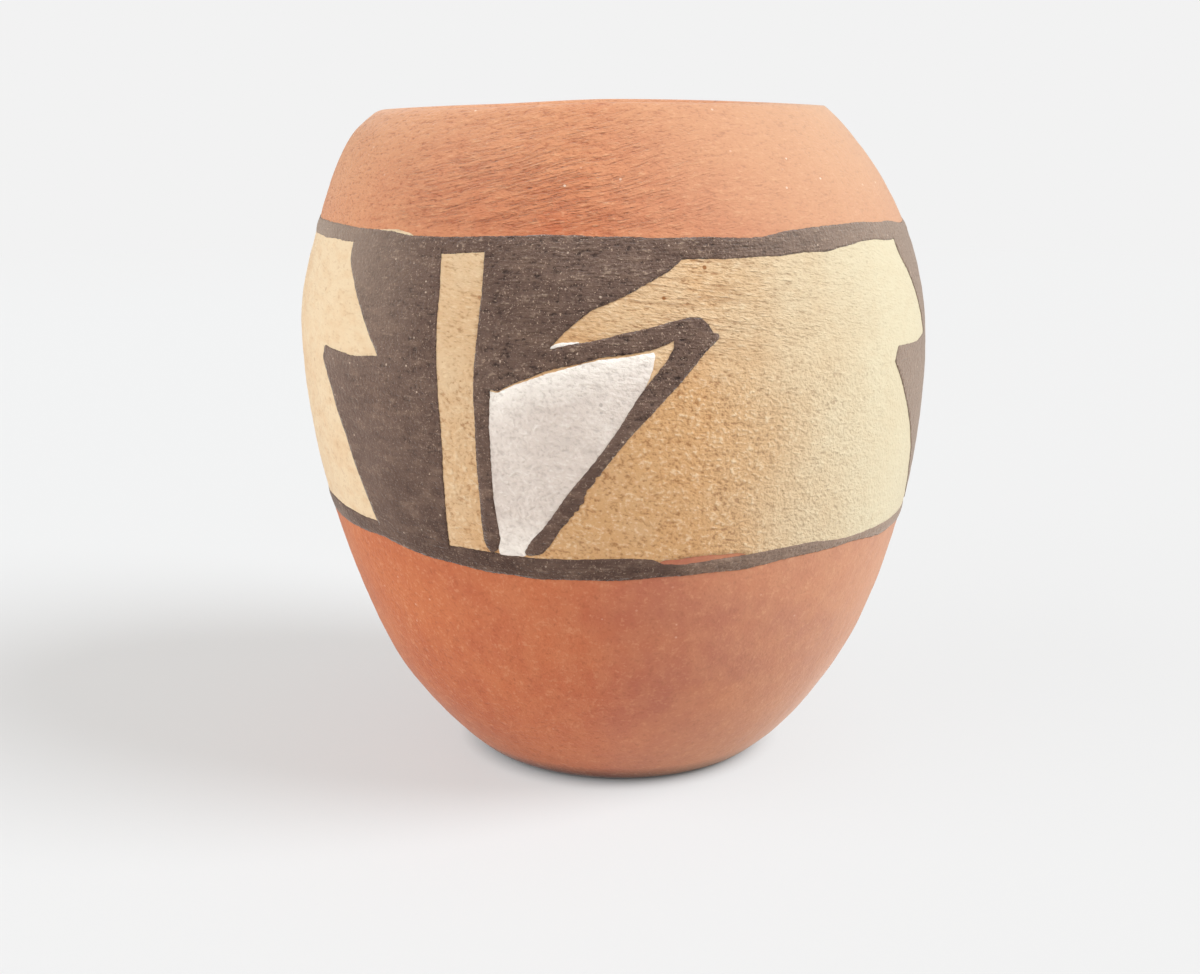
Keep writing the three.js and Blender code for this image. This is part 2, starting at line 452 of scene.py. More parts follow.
def off_middle(tree):
    """How far a place is from the upright line through the middle of the foot."""
    level = add_node(tree, "ShaderNodeVectorMath", operation="MULTIPLY")
    tree.links.new(add_node(tree, "ShaderNodeTexCoord").outputs["Object"], level.inputs[0])
    level.inputs[1].default_value = (1, 1, 0)
    away = add_node(tree, "ShaderNodeVectorMath", operation="LENGTH")
    tree.links.new(level.outputs[0], away.inputs[0])
    return away.outputs["Value"]


def toward_side(tree, turn, side, start, end, share, least=0.0):
    """Grows from least to share toward one side. Start and end are cosines of the turn away from it."""
    cosine = combined(tree, combined(tree, turn, side, "SUBTRACT"), 0, "COSINE")
    cosine = combined(tree, cosine, ramp(tree, off_middle(tree), middle_start, middle_end))
    return ramp(tree, cosine, start, end, least, share)


# Grain sizes go with how far each is drawn out sideways and upwards, and with its share.
fire_cloud_size = 11 * mm
mottle_size = 1.6 * mm
gritty = [(0.2 * mm, (2, 2, 0.9), 0.5), (0.4 * mm, (3, 3, 0.8), 0.5)]
rubbed_smooth = [(0.3 * mm, (1, 1, 1), 0.5), (0.7 * mm, (1.2, 1.2, 1), 0.5)]
scraping = [(0.22 * mm, (12, 12, 0.6), 0.5), (0.42 * mm, (10, 10, 0.6), 0.5)]
scraping_wander = 0.7 * mm
groove_depth = 0.08 * mm
grain_depth = 0.4 * mm
# How high the painted haze reaches above the foot, and where the painted contact shade darkens the foot's
# edge.
foot_haze_height = 14 * mm
contact_shade_height = 2.6 * mm
contact_shade_ring_start = 9 * mm
contact_shade_ring_end = 12 * mm
# Where the darker front patch lies.
dark_front_turn = 0.08
dark_front_height = 22.5 * mm
dark_front_reach = 6 * mm
mica_spacing = 1.7 * mm
mica_size = 0.24 * mm
clay_dust = 0.3

low_clay, low_clouds = linear(201, 121, 88), linear(181, 100, 81)
high_clay, high_clouds = linear(212, 141, 101), linear(199, 116, 81)
clay_mottle = linear(212, 146, 112)
# Painted light among these: haze at the rim, left and foot, contact shade at the foot's edge, warm light low
# on the left, shade and highlight on the grit, shade in the grooves, and the paler key-lit right.
rim_haze_clay, left_haze_clay = linear(214, 163, 126), linear(228, 186, 152)
foot_haze_clay, contact_shade_clay = linear(210, 150, 124), linear(94, 54, 50)
warm_lit_clay, dark_front_clay = linear(204, 120, 70), linear(166, 82, 64)
grit_shade_clay, grit_highlight_clay = linear(150, 78, 54), linear(232, 180, 142)
groove_shade_clay = linear(164, 72, 46)
key_lit_clay = linear(214, 182, 154)
mica = linear(250, 226, 208)


def scraped_patch(tree, turn, height):
    """Where the scraper's grooves show: above the slip, most left of the front, and not at the back."""
    off_centre = combined(tree, combined(tree, turn, scraped_side, "SUBTRACT"), 0, "ABSOLUTE")
    patch = ramp(tree, off_centre, most_scraped, least_scraped, 1, 0.15)
    patch = combined(tree, patch, ramp(tree, height, band_top + 6 * mm, pot_height, 1, 0.3))
    bare = ramp(tree, height, band_top, band_top + scraped_from)
    return combined(tree, combined(tree, patch, bare), ramp(tree, off_centre, 2.6, 2.2))


def dark_front_patch(tree, turn, height):
    """A darker patch in the middle of the front below the painted band."""
    beside = combined(tree, combined(tree, turn, dark_front_turn, "SUBTRACT"), 0, "ABSOLUTE")
    above = combined(tree, combined(tree, height, dark_front_height, "SUBTRACT"), 0, "ABSOLUTE")
    return combined(tree, ramp(tree, beside, 0.35, 0), ramp(tree, above, dark_front_reach, 0))


def clay_colour(tree, turn, height, upper):
    """Fired red clay: cloudy, with painted haze at the rim, on the upper left and toward the foot, painted
    warm light low on the left, a darker patch at the front, and painted contact shade where it stands.
    """
    clouds = ramp(tree, noise_at(tree, fire_cloud_size, (1, 1, 0.8), 3), 0.35, 0.65)
    lower_clay = blend_colour(tree, clouds, low_clay, low_clouds)
    upper_clay = blend_colour(tree, clouds, high_clay, high_clouds)
    colour = blend_colour(tree, upper, lower_clay, upper_clay)
    mottle = ramp(tree, noise_at(tree, mottle_size, (1, 1, 1.8), 4), 0.4, 0.62)
    colour = blend_colour(tree, combined(tree, mottle, 0.35), colour, clay_mottle)
    # Painted haze: paler toward the rim.
    rim_haze = ramp(tree, height, band_top, pot_height, 0, 0.6)
    colour = blend_colour(tree, rim_haze, colour, rim_haze_clay)
    # Painted haze: paler toward the foot, most on the key-lit right.
    foot_haze = ramp(tree, height, 2 * mm, foot_haze_height, 0.55, 0)
    foot_haze = combined(tree, foot_haze, toward_side(tree, turn, key_lit_side, -0.3, 0.3, 1, 0.3))
    colour = blend_colour(tree, foot_haze, colour, foot_haze_clay)
    # Painted haze: paler on the upper left.
    left_haze = toward_side(tree, turn, hazy_left_side, 0.3, 1, 0.4)
    colour = blend_colour(tree, combined(tree, left_haze, upper), colour, left_haze_clay)
    # Painted warm light on the lower left.
    warm_light_left = toward_side(tree, turn, warm_light_side, 0.65, 1, 0.5)
    warm_light_left = combined(tree, warm_light_left, ramp(tree, upper, 0, 1, 1, 0))
    colour = blend_colour(tree, warm_light_left, colour, warm_lit_clay)
    # A darker patch at the front below the band.
    dark_front = combined(tree, dark_front_patch(tree, turn, height), 0.25)
    colour = blend_colour(tree, dark_front, colour, dark_front_clay)
    # Painted contact shade: the foot's edge dark where it stands on the floor.
    contact_shade = ramp(tree, height, 0.8 * mm, contact_shade_height, 0.95, 0)
    contact_shade = combined(tree, contact_shade, ramp(tree, off_middle(tree), contact_shade_ring_start, contact_shade_ring_end))
    return blend_colour(tree, contact_shade, colour, contact_shade_clay), mottle


def clay_material():
    """Bare red clay: gritty and scraped above the slip, rubbed smooth below it, painted paler on the key-lit
    right, with painted shade and highlight on its grit and painted shade in its grooves.
    """
    material, tree = new_material("red_clay")
    slanted, turn, height = slanted_place(tree, scrape_rise, scraping_wander)
    upper = ramp(tree, height, band_bottom, band_top)
    colour, mottle = clay_colour(tree, turn, height, upper)
    grain = blend_colour(tree, upper, noises_at(tree, rubbed_smooth), noises_at(tree, gritty))
    contrast = ramp(tree, upper, 0, 1, 0.32, 0.55)
    # Painted shade in the grit's hollows and painted highlight on its tops.
    grit_hollow_shade = combined(tree, ramp(tree, grain, 0.46, 0.34), contrast)
    colour = blend_colour(tree, grit_hollow_shade, colour, grit_shade_clay)
    grit_top_highlight = combined(tree, ramp(tree, grain, 0.54, 0.68), contrast)
    colour = blend_colour(tree, grit_top_highlight, colour, grit_highlight_clay)
    grooves = ramp(tree, noises_at(tree, scraping, slanted), 0.52, 0.4)
    grooves = combined(tree, grooves, scraped_patch(tree, turn, height))
    # Painted shade in the scraper's grooves.
    colour = blend_colour(tree, combined(tree, grooves, 0.32), colour, groove_shade_clay)
    # Painted light: paler on the key-lit right side, with flatter relief there.
    key_lit_paling = toward_side(tree, turn, key_lit_side, 0.2, 1, 1)
    key_lit_paling = combined(tree, key_lit_paling, ramp(tree, upper, 0, 1, 0.5, 0.65))
    colour = blend_colour(tree, key_lit_paling, colour, key_lit_clay)
    seen_flecks = ramp(tree, upper, 0, 1, 0.3, 0.9)
    flecks = combined(tree, specks(tree, mica_spacing, mica_size), seen_flecks)
    colour = blend_colour(tree, flecks, colour, mica)
    normal = bumped(tree, grooves, -groove_depth)
    relief = combined(tree, grain, ramp(tree, upper, 0, 1, 0.35, 0.8))
    relief = combined(tree, relief, ramp(tree, key_lit_paling, 0, 1, 1, 0.2))
    normal = bumped(tree, relief, grain_depth, normal)
    roughness = ramp(tree, mottle, 0, 1, 0.82, 0.95)
    finish_shader(tree, colour, roughness, normal, clay_dust)
    return material


coils = sorted(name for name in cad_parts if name.startswith("wall_coil_"))
clay_pieces = ["moulded_base_cup", "rim_coil"] + coils
clay_body = turned(body_outline(), steps_round)
shape_body(clay_body)
as_piece(clay_body, "red_clay_body", clay_material(), clay_pieces)


# Buff slip: a coat of pale yellow clay, brushed on in a band round the belly. Its top edge shows above the
# dark line at the left, and right of the front it stops short of the lower line and leaves the clay bare.
slip_proud = 0.05 * mm
ring_sunk = 0.05 * mm
slip_rows = 75
slip_steps = 600
slip_top_edge = [
    (-180, 57.8), (-49, 57.9), (-46, 58.4), (-40, 58.5), (-37, 58.25), (-34.5, 57.8), (120, 57.8),
]
slip_bottom_edge = [
    (-180, 28.2), (-85, 28.2), (-68, 29), (-48, 29), (-36, 28.2), (5, 28.2), (7.5, 28.9), (14, 29.1),
    (20, 29), (25, 28.2), (120, 28.2),
]
hand_waver = 3.6 * mm
hand_waver_depth = 0.12 * mm
brush_hair = 0.4 * mm
brush_hair_depth = 0.06 * mm


def edge_height(places, turn):
    """The height of a painted edge, read smoothly from its places of (degrees round, millimetres up)."""
    degrees = math.degrees(turn)
    after = bisect.bisect([place[0] for place in places], degrees)
    (a, low), (b, high) = places[after - 1], places[after % len(places)]
    b += 360 if b <= a else 0
    return (low + (high - low) * ease(degrees, a, b)) * mm


def waver(place):
    """How far the hand and the brush's hairs carry an edge off its line."""
    hairs = brush_hair_depth * noise.noise(place / brush_hair)
    return hand_waver_depth * noise.noise(place / hand_waver) + hairs


def brushed_ring(top_edge, bottom_edge, proud, edge_proud, rows, steps, seed):
    """A closed ring of paint or slip between two brushed edges, from below the surface to just above it."""
    # The outside is rolled up at radius 1 and the inside at 0.9, and then both are laid on the pot.
    outside = [Vector((1, i / rows)) for i in range(rows + 1)]
    inside = [Vector((0.9, i / rows)) for i in range(rows, -1, -1)]
    bm = turned(outside + inside + outside[:1], steps)
    for vert in bm.verts:
        turn = math.atan2(vert.co.x, -vert.co.y)
        on_top = math.hypot(vert.co.x, vert.co.y) > 0.95
        bottom = edge_height(bottom_edge, turn)
        top = edge_height(top_edge, turn)
        around = Vector((math.sin(turn), -math.cos(turn), seed)) * belly_radius
        bottom += waver(around + Vector((0, 0, bottom)))
        top += waver(around + Vector((0, 0, top)))
        height = bottom + (top - bottom) * vert.co.z
        depth = edge_proud + (proud - edge_proud) * math.sin(math.pi * vert.co.z) if on_top else -ring_sunk
        vert.co = hand_formed(turn, height, radius_at(height) + depth)
    return bm


thin_shift = 0.02
thick_height = 56 * mm
thin_height = 38 * mm


def thin_and_shaded_between_figures(tree):
    """Where the slip was brushed out thinnest and is darker, which is partly painted shade: in the middle of
    each of the three repeats, most low down.
    """
    _, turn, height = slanted_place(tree, rise=0)
    threefold = combined(tree, combined(tree, turn, thin_shift, "SUBTRACT"), 3)
    repeat = combined(tree, threefold, 0, "COSINE")
    lower = ramp(tree, height, thick_height, thin_height, 0.6, 1)
    return combined(tree, ramp(tree, repeat, -0.9, 0.6), lower)


raked_side = math.radians(10)
coarse_side = math.radians(4)


def coarse_patch(tree, turn, start, least):
    """The coat is coarsest at the front and at the back, and rubbed finer at the sides."""
    front = toward_side(tree, turn, coarse_side, start, 0.97, 1, least)
    back = toward_side(tree, turn, coarse_side + math.pi, start, 0.97, 1, least)
    return combined(tree, front, back, "MAXIMUM")


slip_cloud_size = 7 * mm
slip_mottle_size = 1.3 * mm
slip_grit = [(0.3 * mm, (1.3, 1.3, 1), 0.6), (0.7 * mm, (1.5, 1.5, 1), 0.4)]
brush_streaks = [(0.2 * mm, (2.4, 2.4, 0.9), 0.55), (0.4 * mm, (3, 3, 0.8), 0.45)]
brush_fall = -0.12
streaked_from = 45 * mm
raked_from = 44 * mm
streaked_to = 50 * mm
rake_size = 0.34 * mm
rake_depth = 0.08 * mm
spot_spacing = 1.8 * mm
spot_size = 0.4 * mm
slip_dust = 0.3
# Painted light: the slip's colour on the key-lit right.
key_lit_slip = linear(213, 214, 190)


def slip_material(name, thinness_and_shade, colours, grain_colours, contrast, raked, depth):
    """Brushed slip: paler where thick, gritty, with small dark spots, painted shade in its pits and rake
    lines and painted highlight on its grains, streaked by the brush high up, and painted paler on the
    key-lit right.
    """
    material, tree = new_material(name)
    thick_colour, thin_colour, mottle_colour = colours
    pit_colour, grain_colour = grain_colours
    clouds = ramp(tree, noise_at(tree, slip_cloud_size, (1, 1, 1), 3), 0.3, 0.7, -0.25, 0.25)
    thin = ramp(tree, combined(tree, thinness_and_shade(tree), clouds, "ADD"), 0, 1)
    colour = blend_colour(tree, thin, thick_colour, thin_colour)
    mottle = ramp(tree, noise_at(tree, slip_mottle_size, (1.6, 1.6, 0.8), 3), 0.45, 0.7)
    colour = blend_colour(tree, combined(tree, mottle, 0.35), colour, mottle_colour)
    strokes, turn, height = slanted_place(tree, brush_fall)
    grit = noises_at(tree, slip_grit, strokes)
    if raked:
        streaked = ramp(tree, height, streaked_from, streaked_to, 0.1, 0.8)
        grit = blend_colour(tree, streaked, grit, noises_at(tree, brush_streaks, strokes))
    coarse = coarse_patch(tree, turn, 0.6, 0.3)
    # Painted shade in the hollows of the grit and painted highlight on its tops.
    pits = combined(tree, ramp(tree, grit, 0.47, 0.37, 0, contrast), coarse)
    colour = blend_colour(tree, pits, colour, pit_colour)
    grains = combined(tree, ramp(tree, grit, 0.53, 0.65, 0, contrast), coarse)
    colour = blend_colour(tree, grains, colour, grain_colour)
    spots = combined(tree, specks(tree, spot_spacing, spot_size), coarse)
    colour = blend_colour(tree, spots, colour, pit_colour)
    rakes = ramp(tree, noise_at(tree, rake_size, (14, 14, 0.7), 3, strokes), 0.46, 0.36)
    rakes = combined(tree, rakes, ramp(tree, height, raked_from, streaked_to))
    rakes = combined(tree, rakes, toward_side(tree, turn, raked_side, 0.92, 0.99, raked))
    # Painted shade along the rake lines.
    colour = blend_colour(tree, rakes, colour, pit_colour)
    # Painted light: paler on the key-lit right side.
    key_lit_paling = toward_side(tree, turn, key_lit_side, 0.5, 1, 0.7)
    colour = blend_colour(tree, key_lit_paling, colour, key_lit_slip)
    normal = bumped(tree, rakes, -rake_depth)
    normal = bumped(tree, combined(tree, grit, coarse), depth, normal)
    finish_shader(tree, colour, ramp(tree, grit, 0.3, 0.7, 0.95, 0.8), normal, slip_dust)
    return material


# The thin colour is also painted shade in the middle of each repeat and low down.
buff_colours = linear(233, 214, 182), linear(218, 175, 127), linear(216, 178, 134)
buff_grain_colours = linear(160, 109, 66), linear(248, 228, 196)
buff_contrast = 0.7
buff_raked = 0.35
buff_relief = 0.55 * mm
buff = slip_material(
    "buff_slip",
    thin_and_shaded_between_figures,
    buff_colours,
    buff_grain_colours,
    buff_contrast,
    buff_raked,
    buff_relief,
)
slip_band = brushed_ring(
    slip_top_edge, slip_bottom_edge, slip_proud, slip_proud, slip_rows, slip_steps, seed=0
)
as_piece(slip_band, "buff_slip_band_brushed", buff, ["buff_slip_band"])


# Border lines: one long stroke of brown-black paint over each edge of the slip. Each swells and thins with
# the brush, and the lower one ends its first load of paint in a thick end just right of the front.
line_proud = 0.14 * mm
line_edge_proud = 0.06 * mm
line_rows = 8
line_steps = 1400
upper_line_top = [
    (-180, 58.4), (-130, 58.2), (-70, 58.4), (-42, 58.35), (-36, 58.05), (-20, 58.3), (-8, 58.6),
    (10, 58.4), (25, 58.2), (33, 58.7), (50, 58.8), (60, 58.6), (75, 57.9), (120, 58.3),
]
upper_line_bottom = [
    (-180, 56.8), (-130, 56.6), (-70, 56.9), (-52, 57), (-29, 56.7), (-21, 56.9), (12, 56.45), (38, 56.55),
    (51, 57.1), (62, 56.8), (110, 56.5),
]
lower_line_top = [
    (-180, 29), (-110, 29.4), (-65, 30.1), (-48, 29.9), (-31, 29.1), (-10, 28.85), (0, 29.05), (5, 28.9),
    (7.5, 28.4), (10, 28.3), (21, 28.75), (34, 29), (47, 28.55), (68, 28.3), (120, 28.8),
]
lower_line_bottom = [
    (-180, 27.2), (-110, 27.6), (-66, 28.3), (-49, 28.35), (-34, 27.4), (-21, 26.85), (-14, 26.65),
    (0, 26.85), (9, 27.2), (20, 27.25), (34, 27.8), (46, 27.9), (61, 27.25), (80, 26.9), (130, 27.2),
]

paint_cloud_size = 7 * mm
paint_streak_size = 1.1 * mm
paint_grit = [
    (0.3 * mm, (1.2, 1.2, 1), 0.35),
    (0.8 * mm, (1.5, 1.5, 1), 0.35),
    (0.28 * mm, (5, 5, 0.8), 0.3),
]
bare_grain_size = 0.17 * mm
paint_relief = 1 * mm
paint_mica_spacing = 1 * mm
paint_mica_size = 0.2 * mm
paint_dust = 0.4
# Heights of the painted shade low on the paint, of its grit, and of the painted haze on its upper left.
low_shade_from = 41 * mm
low_shade_to = 29 * mm
fine_height = 34 * mm
coarse_height = 46 * mm
haze_from = 44 * mm
haze_to = 54 * mm

# The dense colour is also the painted shade low down, and the hazed colour is painted haze.
plain_paint, dense_and_shaded_paint = linear(114, 94, 85), linear(86, 67, 60)
thin_paint, hazed_paint = linear(138, 116, 102), linear(174, 158, 145)
paint_pit, paint_grain = linear(54, 41, 38), linear(166, 146, 130)
bare_grain, paint_mica = linear(190, 168, 150), linear(214, 196, 180)


def worn_line(tree, turn, height):
    """Where the lower line is worn thin, right of its thick end."""
    beside = combined(tree, ramp(tree, turn, 0.12, 0.2), ramp(tree, turn, 1.9, 1.4))
    low_down = ramp(tree, height, band_bottom + 4 * mm, band_bottom + 3 * mm)
    return combined(tree, beside, low_down)


def paint_material():
    """Brown-black mineral paint: dull, gritty, thin in streaks, with pale grains and mica in it, painted
    shade in its pits and low down, painted highlight on its grit, and painted haze on the key-lit right and
    upper left.
    """
    material, tree = new_material("dark_paint")
    _, turn, height = slanted_place(tree, rise=0)
    clouds = ramp(tree, noise_at(tree, paint_cloud_size, (1, 1, 0.8), 3), 0.3, 0.7)
    # Painted shade: darker lower down, on top of the paint's own clouds.
    low = ramp(tree, height, low_shade_from, low_shade_to, 0, 0.6)
    dense_and_low_shade = ramp(tree, combined(tree, combined(tree, clouds, 0.6), low, "ADD"), 0, 1)
    colour = blend_colour(tree, dense_and_low_shade, plain_paint, dense_and_shaded_paint)
    streaks = ramp(tree, noise_at(tree, paint_streak_size, (2.2, 2.2, 0.8), 4), 0.48, 0.72)
    worn = combined(tree, worn_line(tree, turn, height), 0.5)
    thin = combined(tree, combined(tree, streaks, 0.5), worn, "ADD")
    colour = blend_colour(tree, thin, colour, thin_paint)
    grit = noises_at(tree, paint_grit)
    coarse = coarse_patch(tree, turn, 0.55, 0.4)
    coarse = combined(tree, coarse, ramp(tree, height, fine_height, coarse_height, 0.6, 1))
    # Painted shade in the hollows of the grit and painted highlight on its tops.
    pits = combined(tree, ramp(tree, grit, 0.47, 0.36), coarse)
    colour = blend_colour(tree, pits, colour, paint_pit)
    grains = combined(tree, ramp(tree, grit, 0.55, 0.64, 0, 0.8), coarse)
    colour = blend_colour(tree, grains, colour, paint_grain)
    bare_grains = combined(tree, ramp(tree, noise_at(tree, bare_grain_size), 0.62, 0.7), coarse)
    colour = blend_colour(tree, bare_grains, colour, bare_grain)
    # Painted haze: paler on the key-lit right and on the upper left.
    key_lit_paling = toward_side(tree, turn, key_lit_side, 0.5, 1, 0.6)
    left_haze = toward_side(tree, turn, hazy_left_side, 0.6, 1, 0.6)
    left_haze = combined(tree, left_haze, ramp(tree, height, haze_from, haze_to, 0.15, 1.2))
    paled = combined(tree, key_lit_paling, left_haze, "ADD")
    colour = blend_colour(tree, paled, colour, hazed_paint)
    flecks = combined(tree, specks(tree, paint_mica_spacing, paint_mica_size), 0.8)
    colour = blend_colour(tree, flecks, colour, paint_mica)
    normal = bumped(tree, combined(tree, grit, coarse), paint_relief)
    finish_shader(tree, colour, ramp(tree, clouds, 0, 1, 0.75, 0.88), normal, paint_dust)
    return material


paint = paint_material()
upper_line = brushed_ring(
    upper_line_top, upper_line_bottom, line_proud, line_edge_proud, line_rows, line_steps, seed=1
)
as_piece(upper_line, "upper_border_line_stroke", paint, ["upper_border_line"])
lower_line = brushed_ring(
    lower_line_top, lower_line_bottom, line_proud, line_edge_proud, line_rows, line_steps, seed=2
)
as_piece(lower_line, "lower_border_line_stroke", paint, ["lower_border_line"])


# Painted figures: the same dark paint, drawn freehand between the border lines, three times round the pot.
# Their places are (degrees round from the front, millimetres up), and no two repeats are drawn alike.
figure_proud = 0.11 * mm
film_underside = 0.03 * mm
hair_step = 0.14 * mm
film_grid = 0.5 * mm
dry_turn = -6
dry_height = 35.5 * mm
dry_reach = 4.5 * mm
dry_hair = 0.24 * mm
dry_depth = 0.34 * mm
panel_outline = [
    (-29.2, 57.5), (-28.9, 53.4), (-29.1, 46), (-29.3, 38), (-30.2, 32.8), (-30.7, 28.6), (-47.6, 29),
    (-49.1, 31.5), (-51.1, 34.5), (-53.2, 38.2), (-56.4, 42.1), (-59.3, 45.4), (-58, 46.8), (-49, 46.5),
    (-41.5, 46.9), (-43, 48.3), (-47.3, 52), (-49, 53.4), (-50.7, 54.6), (-51.6, 55.6), (-51.9, 57.5),
]
bent_figure_outline = [
    (-21.1, 57.5), (-21, 53.6), (-21.9, 49.2), (-22.7, 44.4), (-23, 40.5), (-23.2, 36.4), (-23.5, 32.5),
    (-23.6, 30.5), (-23.3, 29.6), (-22.4, 28.9), (-21.1, 29.4), (-20.4, 30.4), (-20.5, 32), (-20.8, 34.5),
    (-20.5, 38.5), (-20.4, 41.5), (-19.9, 44.9), (-18.8, 44.7), (-15.8, 45.6), (-11.3, 46.6), (-6.3, 47.4),
    (-2.3, 48), (0.8, 48.2), (5.6, 48.6), (8.6, 49.3), (9.3, 49.6), (9.2, 48.9), (8, 47.7), (5.9, 46.3),
    (3.2, 44.3), (0.2, 41.7), (-4.3, 38.1), (-9, 34.8), (-12.8, 31.8), (-15, 30.6), (-16.5, 29.4),
    (-16.3, 29), (-15.4, 28.95), (-13.8, 29.1), (-12.7, 29.6), (-11.7, 30.3), (-10, 31.6), (-8.3, 32.85),
    (-6.7, 33.9), (-4.1, 36.6), (1.7, 40.7), (5.9, 43.3), (11.1, 46.5), (14.6, 48.6), (16.6, 49.65),
    (16.4, 50), (15.5, 50), (15.3, 50.2), (15, 50.7), (13.8, 51.35), (12.3, 51.45), (6.3, 50.7),
    (-2.2, 49.7), (-10.2, 48.7), (-8.8, 49.6), (-6.5, 50.8), (-3.4, 52.05), (1.2, 53.2), (5, 54.25),
    (9.3, 55.5), (11.7, 56.5), (12.3, 57.5),
]


def run_dry(point, side):
    """Brush hairs leave ragged gaps in the lower right edge of the leg, where the paint runs dry."""
    dry_place = Vector((math.radians(dry_turn) * belly_radius, 0, dry_height))
    near = 1 - ease((point - dry_place).length, 0.4 * dry_reach, dry_reach)
    facing = max(side.normalized().dot(Vector((0.8, 0, -0.6))), 0)
    hair = noise.noise(Vector((point.x - point.z * 0.3, point.y, point.z * 0.3)) / dry_hair)
    return near * facing * dry_depth * hair


def drawn(outline, seed):
    """A flat outline in metres as the brush draws it: corners a little round and sides a little ragged."""
    corners = [Vector((math.radians(turn) * belly_radius, 0, height * mm)) for turn, height in outline]
    line = evenly(corners + corners[:1], hair_step)[:-1]
    for _ in range(3):
        line = [(line[i - 1] + line[i] * 2 + line[(i + 1) % len(line)]) / 4 for i in range(len(line))]
    wavering = []
    for i, point in enumerate(line):
        along = (line[(i + 1) % len(line)] - line[i - 1]).normalized()
        side = Vector((along.z, 0, -along.x))
        wavering.append(point + side * (waver(point + Vector((0, seed, 0))) + run_dry(point, side)))
    return wavering


def wrapped_film(outlines, turn, proud):
    """Films of paint from flat outlines, sliced fine enough to bend, and laid round the pot."""
    bm = bmesh.new()
    for outline in outlines:
        bm.faces.new([bm.verts.new(point) for point in outline])
    for axis in (0, 2):
        spots = [vert.co[axis] for vert in bm.verts]
        square = Vector((0, 0, 0))
        square[axis] = 1
        first, last = math.ceil(min(spots) / film_grid), math.floor(max(spots) / film_grid)
        for i in range(first, last + 1):
            everything = bm.verts[:] + bm.edges[:] + bm.faces[:]
            bmesh.ops.bisect_plane(
                bm, geom=everything, dist=0.002 * mm, plane_co=square * i * film_grid, plane_no=square
            )
    bmesh.ops.triangulate(bm, faces=bm.faces[:])
    drawing = bm.loops.layers.uv.new("drawing")
    for face in bm.faces:
        for loop in face.loops:
            loop[drawing].uv = (loop.vert.co.x, loop.vert.co.z)
    grown = bmesh.ops.extrude_face_region(bm, geom=bm.faces[:], use_keep_orig=True)["geom"]
    for vert in grown:
        if isinstance(vert, bmesh.types.BMVert):
            vert.co.y = -1
    for vert in bm.verts:
        height = vert.co.z
        depth = proud if vert.co.y < 0 else film_underside
        vert.co = hand_formed(turn + vert.co.x / belly_radius, height, radius_at(height) + depth)
    bmesh.ops.recalc_face_normals(bm, faces=bm.faces[:])
    return bm


# Below its barb the panel's left side is drawn further to the right, by so many degrees a millimetre.
repeat_turns = {"front": 0, "right": 115, "left": 237.5}
barb_slants = {"front": 0, "right": 0.5, "left": 0.2}
barb_height = 45
barb_turn = -45
for i, (side, degrees) in enumerate(repeat_turns.items()):
    slanted = [
        (turn + barb_slants[side] * max(barb_height - height, 0) if turn < barb_turn else turn, height)
        for turn, height in panel_outline
    ]
    panel = wrapped_film([drawn(slanted, seed=i)], math.radians(degrees), figure_proud)
    as_piece(panel, side + "_barbed_panel_painted", paint, [side + "_barbed_panel"])
    bent = wrapped_film([drawn(bent_figure_outline, seed=i + 0.5)], math.radians(degrees), figure_proud)
    as_piece(bent, side + "_bent_figure_painted", paint, [side + "_bent_figure"])


# White patches: white slip filled in between the arm and the leg before the dark paint was drawn round
# it. It misses the upper corner, where the buff slip shows. A stray touch of it lies above the arm.
white_proud = 0.075 * mm
patch_outline = [
    (-20.4, 44.7), (-20.9, 41.5), (-21, 38.5), (-21.2, 34.5), (-21.1, 30.7), (-20.9, 28.9), (-16.4, 28.9),
    (-13, 31.3), (-8.4, 34.6), (-3.7, 37.9), (0.8, 41.4), (3.4, 44), (4.9, 45.9), (5.55, 46.8), (6, 47.8),
    (6.1, 48.45), (0.8, 48.05), (-2.3, 47.85), (-6.3, 47.25), (-11.3, 46.45), (-15.8, 45.45),
    (-18.8, 44.55),
]
stray_outline = [(-10.4, 48.6), (-6.4, 49.05), (-5.2, 49.35), (-6.4, 49.35), (-8.4, 49.25), (-9.6, 49)]
arm_climb = 0.29
arm_edge = 47.6 * mm
thin_from = 44.8 * mm
patch_foot = 29.5 * mm
thin_foot = 33 * mm


def thin_and_shaded_below_arm(tree):
    """Where the white is thinnest and greyest: all but its upper edge, along the arm, and its foot. Its
    paler upper edge is partly a thicker coat and partly painted highlight.
    """
    drawing = add_node(tree, "ShaderNodeSeparateXYZ")
    tree.links.new(add_node(tree, "ShaderNodeUVMap", uv_map="drawing").outputs["UV"], drawing.inputs[0])
    climb = combined(tree, drawing.outputs["X"], arm_climb)
    below_arm = combined(tree, drawing.outputs["Y"], climb, "SUBTRACT")
    above_foot = ramp(tree, drawing.outputs["Y"], patch_foot, thin_foot)
    return combined(tree, ramp(tree, below_arm, arm_edge, thin_from), above_foot)


# The thick white colour is also painted highlight along the upper edge.
white_colours = linear(255, 253, 249), linear(228, 220, 215), linear(206, 199, 195)
white_grain_colours = linear(184, 177, 173), linear(255, 253, 250)
white_contrast = 0.4
white_raked = 0
white_relief = 0.35 * mm
white = slip_material(
    "white_slip",
    thin_and_shaded_below_arm,
    white_colours,
    white_grain_colours,
    white_contrast,
    white_raked,
    white_relief,
)
for i, (side, degrees) in enumerate(repeat_turns.items()):
    outlines = [drawn(patch_outline, seed=i + 0.7)]
    if side == "front":
        outlines.append(drawn(stray_outline, seed=3))
    patch = wrapped_film(outlines, math.radians(degrees), white_proud)
    as_piece(patch, side + "_white_patch_painted", white, [side + "_white_patch"])


